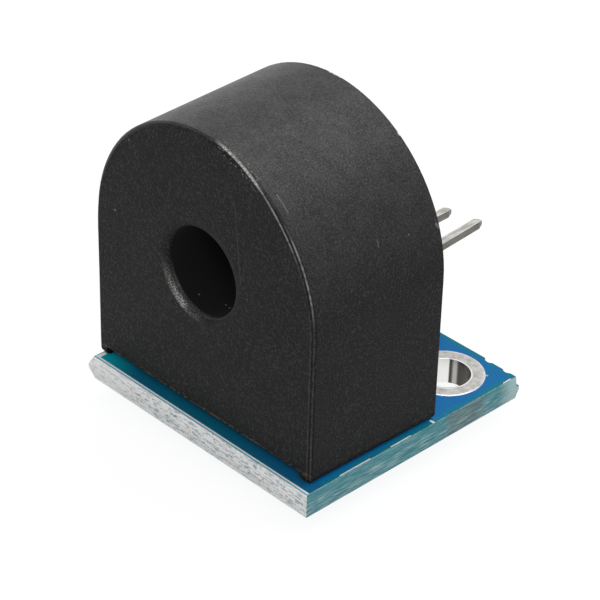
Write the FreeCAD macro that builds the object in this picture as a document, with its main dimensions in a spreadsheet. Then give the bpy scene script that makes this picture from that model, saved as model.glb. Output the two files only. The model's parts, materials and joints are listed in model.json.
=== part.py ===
"""Current sensor: a small moulded current transformer on a circuit board with two rearward pins.

Millimetres. +X is to the right seen from the front, +Y goes through the bore to the rear, +Z is up.
The origin lies midway between the two mounting holes, on the underside of the board.
"""
import FreeCAD, Part
import math
import os

import Sketcher

doc = FreeCAD.newDocument("current_sensor")
sheet = doc.addObject("Spreadsheet::Sheet", "sizes")
V = FreeCAD.Vector
Z_AXIS = V(0, 0, 1)


class Size:
    """A length or angle that keeps both its number and its formula on the sheet."""

    def __init__(self, text, value):
        self.text = text
        self.value = value

    def join(self, sign, other, value):
        return Size("(%s %s %s)" % (self.text, sign, as_size(other).text), value)

    def __add__(self, other):
        return self.join("+", other, self.value + as_size(other).value)

    def __sub__(self, other):
        return self.join("-", other, self.value - as_size(other).value)

    def __mul__(self, other):
        return self.join("*", other, self.value * as_size(other).value)

    def __truediv__(self, other):
        return self.join("/", other, self.value / as_size(other).value)

    def __neg__(self):
        return Size("(0 - %s)" % self.text, -self.value)


def as_size(number):
    """Wrap a plain number so that it can stand in a formula."""
    if isinstance(number, Size):
        return number
    return Size("%.6g" % number, float(number))


def least(first, second):
    """The smaller of two lengths, as a formula."""
    return Size("min(%s; %s)" % (first.text, second.text), min(first.value, second.value))


ZERO = as_size(0)
CLOSE = 0.01
sheet_row = [0]


def size(name, number, note):
    """Write one driving dimension on the sheet and return it."""
    sheet_row[0] += 1
    row = sheet_row[0]
    sheet.set("A%d" % row, name)
    sheet.set("B%d" % row, "%.6g" % number)
    sheet.set("C%d" % row, note)
    sheet.setAlias("B%d" % row, name)
    return Size("sizes.%s" % name, float(number))


# Circuit board
board_width = size("board_width", 18.3, "printed face, left to right")
board_depth = size("board_depth", 17.3, "printed face, front to rear")
board_thick = size("board_thick", 1.6, "board thickness")
web_thick = size("web_thick", 0.25, "snapped web left by the scores, at mid thickness")
web_reach = size("web_reach", 0.12, "how far the snapped web stands out of the printed face")
web_reach_left = size("web_reach_left", 0.42, "same, on the left edge")
tab_mark_diameter = size("tab_mark_diameter", 0.8, "drill marks of the breakaway tab on the rear edge")
tab_mark_depth = size("tab_mark_depth", 0.22, "how far the drill marks cut into the printed face")
tab_mark_pitch = size("tab_mark_pitch", 1.45, "between the two drill marks")
tab_mark_inset = size("tab_mark_inset", 0.75, "outer drill mark from the right edge")
tab_break_length = size("tab_break_length", 2.45, "broken stretch, from the right edge")
tab_break_depth = size("tab_break_depth", 0.09, "how far it broke into the printed face")
hole_inset = size("hole_inset", 3.0, "mounting hole centre from the side and rear edges")
hole_diameter = size("hole_diameter", 3.0, "finished mounting hole")
ring_diameter = size("ring_diameter", 4.75, "outer diameter of the plated mounting ring")
plating = size("plating", 0.05, "thickness of copper and tin")

# Transformer case
case_shift = size("case_shift", -0.365, "bore axis from the board's middle, sideways")
case_front = size("case_front", 0.59, "case front behind the board's front edge")
case_width_front = size("case_width_front", 18.14, "width at the closed front")
case_width_rear = size("case_width_rear", 18.52, "width at the open rear")
case_depth = size("case_depth", 9.87, "front to rear")
arch_height = size("arch_height", 9.44, "arch centre above the board, at the front")
arch_rise = size("arch_rise", 0.11, "how much higher the arch centre is at the rear")
foot_width = size("foot_width", 0.75, "width of the foot rails under the side walls")
foot_height = size("foot_height", 0.62, "how far the feet hold the floor off the board")
wall = size("wall", 0.8, "side wall and floor thickness")
front_wall = size("front_wall", 1.0, "closed front thickness")
rim_bevel = size("rim_bevel", 0.23, "bevel round the front rim")
foot_round = size("foot_round", 0.42, "rounding of the lower outer corners")
bore_diameter = size("bore_diameter", 5.4, "primary conductor bore")
bore_lift = size("bore_lift", 0.27, "bore axis above the arch centre at the front")
tube_wall = size("tube_wall", 0.55, "wall of the bore tube")
mouth_width = size("mouth_width", 0.58, "dished mouth round the bore")
mouth_depth = size("mouth_depth", 0.33, "depth of the dished mouth")
MOUTH_TURNS = (0, 30, 60, 90)
tube_bevel = size("tube_bevel", 0.15, "bevel inside the tube's rear end")
resin_recess = size("resin_recess", 0.3, "resin surface below the rear rim")
fit_gap = size("fit_gap", 0.03, "clearance where one piece passes another")

# Coil
coil_room = size("coil_room", 0.8, "resin between the coil and the case floor or walls")
tube_room = size("tube_room", 0.47, "resin between the bore tube and the coil")
rear_cover = size("rear_cover", 1.54, "resin behind the coil")
insulation = size("insulation", 0.2, "core coating thickness")
copper_build = size("copper_build", 0.45, "thickness of the wound wire")
ridge_height = size("ridge_height", 0.08, "how far single wire bundles stand out")
ridge_width = size("ridge_width", 0.26, "width of one wire bundle")
ridge_count = 24
tape_thick = size("tape_thick", 0.1, "outer tape")

# Terminals under the case
terminal_pitch = size("terminal_pitch", 10.0, "between the two terminals")
terminal_depth = size("terminal_depth", 2.0, "terminals behind the case front")
terminal_diameter = size("terminal_diameter", 0.8, "round terminal wire")
terminal_rise = size("terminal_rise", 3.0, "terminal top above the board")
terminal_bevel = size("terminal_bevel", 0.12, "bevelled lower ends of all pins")
pin_protrusion = size("pin_protrusion", 1.2, "all soldered pins end this far below the board")
lead_diameter = size("lead_diameter", 0.25, "winding lead with its sleeve")
lead_drop = size("lead_drop", 1.1, "straight lead beside the terminal")
lead_angle = size("lead_angle", 50, "lead leaves the winding at this angle below the bore axis")
bead_diameter = size("bead_diameter", 1.25, "solder bead on the terminal")
bead_short = size("bead_short", 0.1, "bead ends this far below the lead's knee")

# Pin holes and joints
joint_hole = size("joint_hole", 1.0, "finished pin hole")
joint_pad = size("joint_pad", 1.9, "pad round a pin hole")
joint_cone = size("joint_cone", 0.8, "height of the solder cone")
pad_margin = size("pad_margin", 0.05, "pad left bare round the cone's foot")
joint_neck = size("joint_neck", 0.16, "solder left round the pin at the cone's end")

# Header
pin_pitch = size("pin_pitch", 2.54, "pin pitch and block width per pin")
pin_square = size("pin_square", 0.5, "square pin")
pin_row = size("pin_row", 0.6, "pin row behind the mounting holes")
pin_arm_height = size("pin_arm_height", 6.3, "start of the pin arm above the underside")
pin_reach = size("pin_reach", 7.25, "pin tip behind the pin row")
pin_tilt_left = size("pin_tilt_left", 1.5, "left pin arm rises toward the tip, in degrees")
pin_tilt_right = size("pin_tilt_right", 4.5, "same, the right pin arm")
bend_radius = size("bend_radius", 0.75, "bend at the pin's centre line")
tip_length = size("tip_length", 0.35, "tapered tip")
tip_square = size("tip_square", 0.28, "blunt end of the tip")
block_height = size("block_height", 2.54, "insulator height")
block_bevel = size("block_bevel", 0.45, "bevelled corners of each insulator unit")

# Sampling resistor on the underside
resistor_length = size("resistor_length", 2.0, "over the end caps")
resistor_width = size("resistor_width", 1.25, "width")
resistor_height = size("resistor_height", 0.5, "ceramic and caps")
cap_length = size("cap_length", 0.4, "end cap")
cap_thick = size("cap_thick", 0.05, "metal of the end cap")
glaze_thick = size("glaze_thick", 0.03, "dark glaze over the resistive film")
land_reach = size("land_reach", 0.55, "solder land beyond the end cap")
land_margin = size("land_margin", 0.1, "solder land wider than the resistor, each side")
solder_toe = size("solder_toe", 0.11, "land left bare beyond the solder")
solder_rise = size("solder_rise", 0.4, "solder's height up the end cap")
solder_belly = size("solder_belly", 0.17, "corner of the solder's hollow slope, outward and down")
resistor_row = size("resistor_row", -5.2, "resistor's place from the hole row")

# Sizes that follow from the ones above
board_front = hole_inset - board_depth
hole_pitch = board_width - hole_inset * 2
case_place_y = board_front + case_front
bore_height = arch_height + bore_lift
lead_offset = (terminal_diameter + lead_diameter) / 2 + fit_gap
lead_plane = terminal_depth - lead_offset
tube_radius = bore_diameter / 2 + tube_wall
coil_front = lead_plane + lead_diameter / 2 + fit_gap
coil_half = (case_depth - resin_recess - rear_cover - coil_front) / 2
coil_centre = coil_front + coil_half
room_below = bore_height - foot_height - wall
room_beside = least(case_width_front, case_width_rear) / 2 - wall - bore_lift
coil_radius = least(room_below, room_beside) - coil_room
winding_outer = coil_radius - tape_thick - fit_gap - ridge_height
winding_inner = tube_radius + tube_room + ridge_height
core_outer = (winding_outer - copper_build - insulation) * 2
core_inner = (winding_inner + copper_build + insulation) * 2
core_length = (coil_half - ridge_height - copper_build - insulation) * 2
lead_start = (winding_inner + winding_outer) / 2

doc.recompute()
pieces = []


def bind(thing, target, amount):
    """Tie one property of an object to its formula."""
    thing.setExpression(target, as_size(amount).text)


def place(thing, x=ZERO, y=ZERO, z=ZERO):
    """Put a piece at its spot by formula."""
    for axis, amount in zip("xyz", (x, y, z)):
        bind(thing, "Placement.Base." + axis, amount)


def new_body(label, x=ZERO, y=ZERO, z=ZERO):
    """Start one solid piece with its own name and place."""
    body = doc.addObject("PartDesign::Body", label)
    body.Label = label
    place(body, x, y, z)
    return body


def keep(thing):
    """List a finished object among the pieces that are written."""
    pieces.append(thing)
    return thing


def new_sketch(body, name, role, away=ZERO):
    """Start a sketch on an origin plane of the body, shifted along the plane's normal."""
    sketch = body.newObject("Sketcher::SketchObject", name)
    plane = [item for item in body.Origin.OriginFeatures if item.Role == role][0]
    sketch.AttachmentSupport = [(plane, "")]
    sketch.MapMode = "FlatFace"
    bind(sketch, "AttachmentOffset.Base.z", away)
    return sketch


def pin_point(sketch, shape, end, x, y):
    """Hold one end of a line or arc, or a circle's centre, at a formula position."""
    for kind, amount in (("DistanceX", x), ("DistanceY", y)):
        number = sketch.addConstraint(Sketcher.Constraint(kind, -1, 1, shape, end, as_size(amount).value))
        bind(sketch, "Constraints[%d]" % number, amount)


def outline(sketch, corners):
    """Draw a closed outline of straight lines through the given corners."""
    spots = [V(as_size(x).value, as_size(y).value, 0) for x, y in corners]
    first = sketch.GeometryCount
    for number, spot in enumerate(spots):
        sketch.addGeometry(Part.LineSegment(spot, spots[(number + 1) % len(spots)]), False)
    for number, corner in enumerate(corners):
        after = first + (number + 1) % len(spots)
        sketch.addConstraint(Sketcher.Constraint("Coincident", first + number, 2, after, 1))
        pin_point(sketch, first + number, 1, corner[0], corner[1])


def rectangle(sketch, left, right, low, high):
    """Draw a rectangle between four formula limits."""
    outline(sketch, [(left, low), (right, low), (right, high), (left, high)])


def square(sketch, side, x=ZERO, y=ZERO):
    """Draw a square round a centre."""
    half = side / 2
    rectangle(sketch, x - half, x + half, y - half, y + half)


def circle(sketch, radius, x=ZERO, y=ZERO):
    """Draw a circle round a centre."""
    centre = V(as_size(x).value, as_size(y).value, 0)
    shape = sketch.addGeometry(Part.Circle(centre, Z_AXIS, as_size(radius).value), False)
    number = sketch.addConstraint(Sketcher.Constraint("Radius", shape, as_size(radius).value))
    bind(sketch, "Constraints[%d]" % number, radius)
    pin_point(sketch, shape, 3, x, y)


def arch(sketch, corners, half, centre_height):
    """Draw an open run of lines that starts low on the right side and close it with a round top."""
    spots = [V(as_size(x).value, as_size(y).value, 0) for x, y in corners]
    first = sketch.GeometryCount
    for number in range(len(spots) - 1):
        sketch.addGeometry(Part.LineSegment(spots[number], spots[number + 1]), False)
    for number in range(len(spots) - 2):
        sketch.addConstraint(Sketcher.Constraint("Coincident", first + number, 2, first + number + 1, 1))
    for number in range(len(spots) - 1):
        pin_point(sketch, first + number, 1, corners[number][0], corners[number][1])
    last = first + len(spots) - 2
    pin_point(sketch, last, 2, corners[-1][0], corners[-1][1])
    middle = V(0, centre_height.value, 0)
    top = Part.ArcOfCircle(Part.Circle(middle, Z_AXIS, half.value), 0, math.pi)
    curve = sketch.addGeometry(top, False)
    sketch.addConstraint(Sketcher.Constraint("Coincident", last, 2, curve, 2))
    sketch.addConstraint(Sketcher.Constraint("Coincident", curve, 1, first, 1))
    number = sketch.addConstraint(Sketcher.Constraint("DistanceY", -1, 1, curve, 3, centre_height.value))
    bind(sketch, "Constraints[%d]" % number, centre_height)


def feature(body, kind, name, profile):
    """Add a feature that works on one sketch."""
    made = body.newObject("PartDesign::" + kind, name)
    made.Profile = profile
    return made


def pad(body, name, sketch, length, backwards=False):
    """Raise a sketch to a solid."""
    made = feature(body, "Pad", name, sketch)
    bind(made, "Length", length)
    made.Reversed = backwards
    return made


def cut(body, name, sketch, length, backwards=False):
    """Sink a sketch into the solid."""
    made = feature(body, "Pocket", name, sketch)
    bind(made, "Length", length)
    made.Reversed = backwards
    return made


def loft(body, kind, name, first, second):
    """Join or cut a straight-sided body between two sketches."""
    made = feature(body, kind, name, first)
    made.Sections = [second]
    made.Ruled = True
    return made


def spin(body, kind, name, sketch, axis="V_Axis"):
    """Turn a sketch a full circle round one of its own axes."""
    made = feature(body, kind, name, sketch)
    made.ReferenceAxis = (sketch, [axis])
    made.Angle = 360
    return made


def edge_names(shape, wanted):
    """Name the edges for which the test holds."""
    return ["Edge%d" % (number + 1) for number, edge in enumerate(shape.Edges) if wanted(edge)]


def dress(body, kind, name, wanted, amount):
    """Round or bevel the chosen edges of the body's latest shape."""
    doc.recompute()
    base = body.Tip
    names = edge_names(base.Shape, wanted)
    made = body.newObject("PartDesign::" + kind, name)
    made.Base = (base, names)
    bind(made, "Radius" if kind == "Fillet" else "Size", amount)
    return made


def near(number, other):
    """True when two numbers agree within a hundredth of a millimetre."""
    return abs(number - other) < CLOSE


def pattern_round(body, name, base, sketch, axis, count):
    """Repeat a feature evenly round an axis of its sketch."""
    made = body.newObject("PartDesign::PolarPattern", name)
    made.Originals = [base]
    made.Axis = (sketch, [axis])
    made.Angle = 360
    made.Occurrences = count
    body.Tip = made
    return made


# Circuit board


def joint_spots():
    """Centres of all soldered pin holes, as sideways and front-to-rear places."""
    terminal_y = case_place_y + terminal_depth
    spots = {
        "terminal_left": (case_shift - terminal_pitch / 2, terminal_y),
        "terminal_right": (case_shift + terminal_pitch / 2, terminal_y),
        "header_left": (-pin_pitch / 2, pin_row),
        "header_right": (pin_pitch / 2, pin_row),
    }
    return spots


def make_circuit_board():
    """Board snapped from a panel: bevels cut by the scores and a broken web at mid thickness."""
    body = new_body("circuit_board")
    low = (board_thick - web_thick) / 2
    high = (board_thick + web_thick) / 2
    half = board_width / 2
    levels = (("under_face", ZERO), ("web_low", low), ("web_high", high), ("upper_face", board_thick))
    sketches = {}
    for name, level in levels:
        sketch = new_sketch(body, name, "XY_Plane", level)
        if "web" in name:
            rectangle(sketch, -half - web_reach_left, half + web_reach,
                      board_front - web_reach, hole_inset + web_reach)
        else:
            rectangle(sketch, -half, half, board_front, hole_inset)
        sketches[name] = sketch
    pad(body, "web", sketches["web_low"], web_thick)
    loft(body, "AdditiveLoft", "lower_score", sketches["under_face"], sketches["web_low"])
    loft(body, "AdditiveLoft", "upper_score", sketches["web_high"], sketches["upper_face"])
    holes = new_sketch(body, "mounting_holes", "XY_Plane", board_thick)
    for side in (-1, 1):
        circle(holes, hole_diameter / 2 + plating, hole_pitch / 2 * side)
    cut(body, "mounting_hole_cut", holes, board_thick)
    joints = new_sketch(body, "pin_holes", "XY_Plane", board_thick)
    for x, y in joint_spots().values():
        circle(joints, joint_hole / 2 + plating, x, y)
    cut(body, "pin_hole_cut", joints, board_thick)
    broken = new_sketch(body, "tab_break", "XY_Plane", board_thick)
    rectangle(broken, half - tab_break_length, half + web_reach,
              hole_inset - tab_break_depth, hole_inset + web_reach)
    cut(body, "tab_break_cut", broken, board_thick - high)
    marks = new_sketch(body, "tab_drill_marks", "XY_Plane", board_thick)
    radius = tab_mark_diameter / 2
    for number in range(2):
        circle(marks, radius, half - tab_mark_inset - tab_mark_pitch * number,
               hole_inset - tab_mark_depth + radius)
    cut(body, "tab_mark_cut", marks, board_thick)
    return keep(body)


def make_mounting_ring(label, x):
    """Copper barrel of a mounting hole with a flat ring on both faces of the board."""
    body = new_body(label, x)
    section = new_sketch(body, label + "_section", "XZ_Plane")
    inner = hole_diameter / 2
    barrel = inner + plating
    outer = ring_diameter / 2
    top = board_thick + plating
    outline(section, [(inner, -plating), (outer, -plating), (outer, ZERO), (barrel, ZERO),
                      (barrel, board_thick), (outer, board_thick), (outer, top), (inner, top)])
    spin(body, "Revolution", label + "_turned", section)
    return keep(body)


def make_pin_pad(label, x, y):
    """Copper barrel of a pin hole with its solder pad on the underside."""
    body = new_body(label, x, y)
    section = new_sketch(body, label + "_section", "XZ_Plane")
    inner = joint_hole / 2
    barrel = inner + plating
    outer = joint_pad / 2
    outline(section, [(inner, -plating), (outer, -plating), (outer, ZERO), (barrel, ZERO),
                      (barrel, board_thick), (inner, board_thick)])
    spin(body, "Revolution", label + "_turned", section)
    return keep(body)


# Transformer case


def width_at(depth):
    """Case half width at a depth behind the front, along the draft."""
    return (case_width_front + (case_width_rear - case_width_front) * depth / case_depth) / 2


def centre_at(depth):
    """Height of the arch centre at a depth behind the front."""
    return arch_height + arch_rise * depth / case_depth


def outer_section(body, name, depth):
    """Outline of the case with its two foot rails, across the bore axis."""
    sketch = new_sketch(body, name, "XZ_Plane", -as_size(depth))
    half = width_at(depth)
    inner = half - foot_width
    top = centre_at(depth)
    corners = [(half, top), (half, ZERO), (inner, ZERO), (inner, foot_height),
               (-inner, foot_height), (-inner, ZERO), (-half, ZERO), (-half, top)]
    arch(sketch, corners, half, top)
    return sketch


def hollow_section(body, name, depth):
    """Outline of the hollow, one wall inside the case."""
    sketch = new_sketch(body, name, "XZ_Plane", -as_size(depth))
    half = width_at(depth) - wall
    floor = foot_height + wall
    top = centre_at(depth)
    arch(sketch, [(half, top), (half, floor), (-half, floor), (-half, top)], half, top)
    return sketch


def in_notch(box):
    """True for edges of the notch between the two feet."""
    inner = case_width_front.value / 2 - foot_width.value
    return abs(box.Center.x) < inner + CLOSE and box.ZMax < foot_height.value + CLOSE


def on_front_rim(edge):
    """Edges of the closed front's outline, apart from those of the foot notch."""
    box = edge.BoundBox
    return box.YMax < CLOSE and not in_notch(box)


def on_foot_corner(edge):
    """Lower outer edges of the two foot rails, front to rear."""
    box = edge.BoundBox
    mean_half = (case_width_front.value + case_width_rear.value) / 4
    outer = abs(box.Center.x) > mean_half - foot_width.value / 2
    return outer and box.ZMax < CLOSE and box.YLength > case_depth.value / 2


def is_ring(edge, radius, depth):
    """Circular edge of a given radius round the bore axis at a given depth."""
    box = edge.BoundBox
    flat = box.YLength < CLOSE and near(box.YMax, depth)
    return flat and near(box.XLength, radius * 2) and near(box.ZLength, radius * 2)


def cut_mouth(body):
    """Dish the front of the bore in flat bands that follow a quarter of an ellipse."""
    section = new_sketch(body, "mouth_section", "XY_Plane", bore_height)
    corners = [(ZERO, mouth_depth), (ZERO, ZERO)]
    for turn in MOUTH_TURNS:
        angle = math.radians(turn)
        corners.append((bore_diameter / 2 + mouth_width * (1 - math.sin(angle)),
                        mouth_depth * (1 - math.cos(angle))))
    outline(section, corners)
    spin(body, "Groove", "mouth_dish", section)


def make_transformer_case():
    """Moulded cup: arch-shaped draft walls, closed front, bore tube, feet and dished bore mouth."""
    body = new_body("transformer_case", case_shift, case_place_y, board_thick)
    front = outer_section(body, "front_outline", ZERO)
    rear = outer_section(body, "rear_outline", case_depth)
    loft(body, "AdditiveLoft", "shell", front, rear)
    hollow_front = hollow_section(body, "hollow_front", front_wall)
    hollow_rear = hollow_section(body, "hollow_rear", case_depth)
    loft(body, "SubtractiveLoft", "hollow", hollow_front, hollow_rear)
    dress(body, "Fillet", "foot_rounding", on_foot_corner, foot_round)
    dress(body, "Chamfer", "rim_bevel_cut", on_front_rim, rim_bevel)
    tube = new_sketch(body, "tube_ring", "XZ_Plane", -front_wall / 2)
    circle(tube, tube_radius, ZERO, bore_height)
    pad(body, "bore_tube", tube, case_depth - front_wall / 2, True)
    bore = new_sketch(body, "bore_circle", "XZ_Plane", ZERO)
    circle(bore, bore_diameter / 2, ZERO, bore_height)
    cut(body, "bore", bore, case_depth, False)
    cut_mouth(body)
    radius = bore_diameter.value / 2
    depth = case_depth.value
    dress(body, "Chamfer", "tube_end_bevel", lambda edge: is_ring(edge, radius, depth), tube_bevel)
    ports = new_sketch(body, "terminal_ports", "XY_Plane", ZERO)
    for side in (-1, 1):
        circle(ports, terminal_diameter / 2 + fit_gap, terminal_pitch / 2 * side, terminal_depth)
    cut(body, "terminal_port_cut", ports, foot_height + wall + fit_gap, True)
    return keep(body)


# Coil


def coil_body(label):
    """Piece centred on the coil, with the bore axis along its own Y."""
    return new_body(label, case_shift, case_place_y + coil_centre, board_thick + bore_height)


def hollow_ring(body, label, inner, outer, half, skin):
    """Ring-shaped skin that encloses a ring of the given size."""
    section = new_sketch(body, label + "_section", "XY_Plane")
    rectangle(section, inner - skin, outer + skin, -half - skin, half + skin)
    rectangle(section, inner, outer, -half, half)
    spin(body, "Revolution", label + "_turned", section)
    return section


def make_toroid_core():
    """Strip-wound magnetic core."""
    body = coil_body("toroid_core")
    section = new_sketch(body, "core_section", "XY_Plane")
    rectangle(section, core_inner / 2, core_outer / 2, -core_length / 2, core_length / 2)
    spin(body, "Revolution", "core_turned", section)
    return keep(body)


def make_core_insulation():
    """Coating between core and winding."""
    body = coil_body("core_insulation")
    hollow_ring(body, "core_insulation", core_inner / 2, core_outer / 2, core_length / 2, insulation)
    return keep(body)


def make_secondary_winding():
    """Fine wire wound round the ring in even bundles."""
    inner = core_inner / 2 - insulation
    outer = core_outer / 2 + insulation
    half = core_length / 2 + insulation
    body = coil_body("secondary_winding")
    section = hollow_ring(body, "secondary_winding", inner, outer, half, copper_build)
    bundle = new_sketch(body, "bundle_loop", "XY_Plane", -ridge_width / 2)
    grown = copper_build + ridge_height
    rooted = copper_build / 2
    rectangle(bundle, inner - grown, outer + grown, -half - grown, half + grown)
    rectangle(bundle, inner - rooted, outer + rooted, -half - rooted, half + rooted)
    turn = pad(body, "wire_bundle", bundle, ridge_width)
    pattern_round(body, "wire_bundles", turn, section, "V_Axis", ridge_count)
    return keep(body)


def make_winding_tape():
    """Band of tape round the outside of the coil."""
    body = coil_body("winding_tape")
    section = new_sketch(body, "tape_section", "XY_Plane")
    rectangle(section, coil_radius - tape_thick, coil_radius, -coil_half, coil_half)
    spin(body, "Revolution", "tape_turned", section)
    return keep(body)


def make_winding_lead(label, side):
    """Sleeved wire from the coil's front flat down to its terminal."""
    body = new_body(label, case_shift, case_place_y + lead_plane, board_thick)
    angle = math.radians(lead_angle.value)
    start_x = Size("%s * cos(%s * 1 deg)" % (lead_start.text, lead_angle.text),
                   lead_start.value * math.cos(angle)) * side
    start_z = bore_height - Size("%s * sin(%s * 1 deg)" % (lead_start.text, lead_angle.text),
                                 lead_start.value * math.sin(angle))
    end_x = terminal_pitch / 2 * side
    knee_z = terminal_rise - lead_diameter
    path = new_sketch(body, label + "_path", "XZ_Plane")
    spots = [(start_x, start_z), (end_x, knee_z), (end_x, knee_z - lead_drop)]
    points = [V(x.value, y.value, 0) for x, y in spots]
    for number in (0, 1):
        path.addGeometry(Part.LineSegment(points[number], points[number + 1]), False)
        pin_point(path, number, 1, spots[number][0], spots[number][1])
    path.addConstraint(Sketcher.Constraint("Coincident", 0, 2, 1, 1))
    pin_point(path, 1, 2, spots[2][0], spots[2][1])
    profile = new_sketch(body, label + "_profile", "XY_Plane", knee_z - lead_drop)
    circle(profile, lead_diameter / 2, end_x, ZERO)
    doc.recompute()
    made = feature(body, "AdditivePipe", label + "_drawn", profile)
    made.Spine = (path, ["Edge2", "Edge1"])
    made.Transition = "Right corner"
    return keep(body)


def make_terminal_pin(label, side):
    """Round terminal wire through the case floor and the board."""
    body = new_body(label, case_shift + terminal_pitch / 2 * side, case_place_y + terminal_depth)
    section = new_sketch(body, label + "_section", "XZ_Plane")
    radius = terminal_diameter / 2
    low = -pin_protrusion
    high = board_thick + terminal_rise
    outline(section, [(ZERO, low), (radius - terminal_bevel, low), (radius, low + terminal_bevel),
                      (radius, high), (ZERO, high)])
    spin(body, "Revolution", label + "_turned", section)
    return keep(body)


def make_lead_solder(label, side):
    """Solder bead round the terminal where the winding lead ends."""
    body = new_body(label, case_shift + terminal_pitch / 2 * side, case_place_y + terminal_depth,
                    board_thick + terminal_rise - lead_diameter - lead_drop)
    section = new_sketch(body, label + "_section", "XZ_Plane")
    radius = terminal_diameter / 2
    bead = bead_diameter / 2
    length = lead_drop - bead_short
    rectangle(section, radius, bead, ZERO, length)
    spin(body, "Revolution", label + "_turned", section)
    groove = new_sketch(body, label + "_groove", "XY_Plane", ZERO)
    circle(groove, lead_diameter / 2, ZERO, -lead_offset)
    cut(body, label + "_groove_cut", groove, lead_drop, True)
    return keep(body)


def make_potting_fill(others):
    """Cast resin that fills the case round the coil, its leads and terminals."""
    body = new_body("resin_block", case_shift, case_place_y, board_thick)
    front = hollow_section(body, "resin_front", front_wall)
    rear = hollow_section(body, "resin_rear", case_depth - resin_recess)
    loft(body, "AdditiveLoft", "resin", front, rear)
    tube = new_sketch(body, "resin_tube_hole", "XZ_Plane", ZERO)
    circle(tube, tube_radius, ZERO, bore_height)
    cut(body, "resin_tube_cut", tube, case_depth, False)
    envelope = coil_body("coil_envelope")
    section = new_sketch(envelope, "envelope_section", "XY_Plane")
    rectangle(section, winding_inner - ridge_height, coil_radius, -coil_half, coil_half)
    spin(envelope, "Revolution", "envelope_turned", section)
    space = doc.addObject("Part::MultiFuse", "embedded_pieces")
    space.Shapes = [envelope] + others
    doc.recompute()
    fill = doc.addObject("Part::Cut", "potting_fill")
    fill.Base = body
    fill.Tool = space
    fill.Label = "potting_fill"
    return keep(fill)


# Soldered joints


def make_solder(label, x, y, pin_side, square_pin):
    """Solder cone under the board with its plug up the plated hole."""
    body = new_body(label, x, y)
    section = new_sketch(body, label + "_section", "XZ_Plane")
    hole = joint_hole / 2
    foot = joint_pad / 2 - pad_margin
    pin_half = pin_side / 2
    neck = pin_half + joint_neck
    base = -plating
    outline(section, [(ZERO, base - joint_cone), (neck, base - joint_cone), (foot, base),
                      (hole, base), (hole, board_thick), (ZERO, board_thick)])
    spin(body, "Revolution", label + "_turned", section)
    space = new_sketch(body, label + "_pin_space", "XY_Plane", board_thick)
    if square_pin:
        square(space, pin_side)
    else:
        circle(space, pin_half)
    cut(body, label + "_pin_cut", space, board_thick + pin_protrusion + joint_cone)
    return keep(body)


# Header


def make_header_block():
    """Moulded insulator with bevelled units and a square hole for each pin."""
    body = new_body("header_block", ZERO, pin_row, board_thick)
    half = pin_pitch / 2
    inset = half - block_bevel
    end = pin_pitch
    plan = new_sketch(body, "block_plan", "XY_Plane")
    outline(plan, [(-end + block_bevel, -half), (-block_bevel, -half), (ZERO, -inset),
                   (block_bevel, -half), (end - block_bevel, -half), (end, -inset), (end, inset),
                   (end - block_bevel, half), (block_bevel, half), (ZERO, inset), (-block_bevel, half),
                   (-end + block_bevel, half), (-end, inset), (-end, -inset)])
    pad(body, "block", plan, block_height)
    holes = new_sketch(body, "block_holes", "XY_Plane", block_height)
    for side in (-1, 1):
        square(holes, pin_square, half * side, ZERO)
    cut(body, "block_hole_cut", holes, block_height)
    return keep(body)


def tip_section(body, name, side, along, height, pin_tilt):
    """Square across the tilted pin arm at a given place behind the pin row."""
    sketch = new_sketch(body, name, "XZ_Plane", -as_size(along))
    bind(sketch, "AttachmentOffset.Base.y", height)
    sketch.AttachmentOffset = FreeCAD.Placement(sketch.AttachmentOffset.Base,
                                                FreeCAD.Rotation(V(1, 0, 0), pin_tilt.value))
    bind(sketch, "AttachmentOffset.Rotation.Angle", pin_tilt)
    square(sketch, side)
    return sketch


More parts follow.
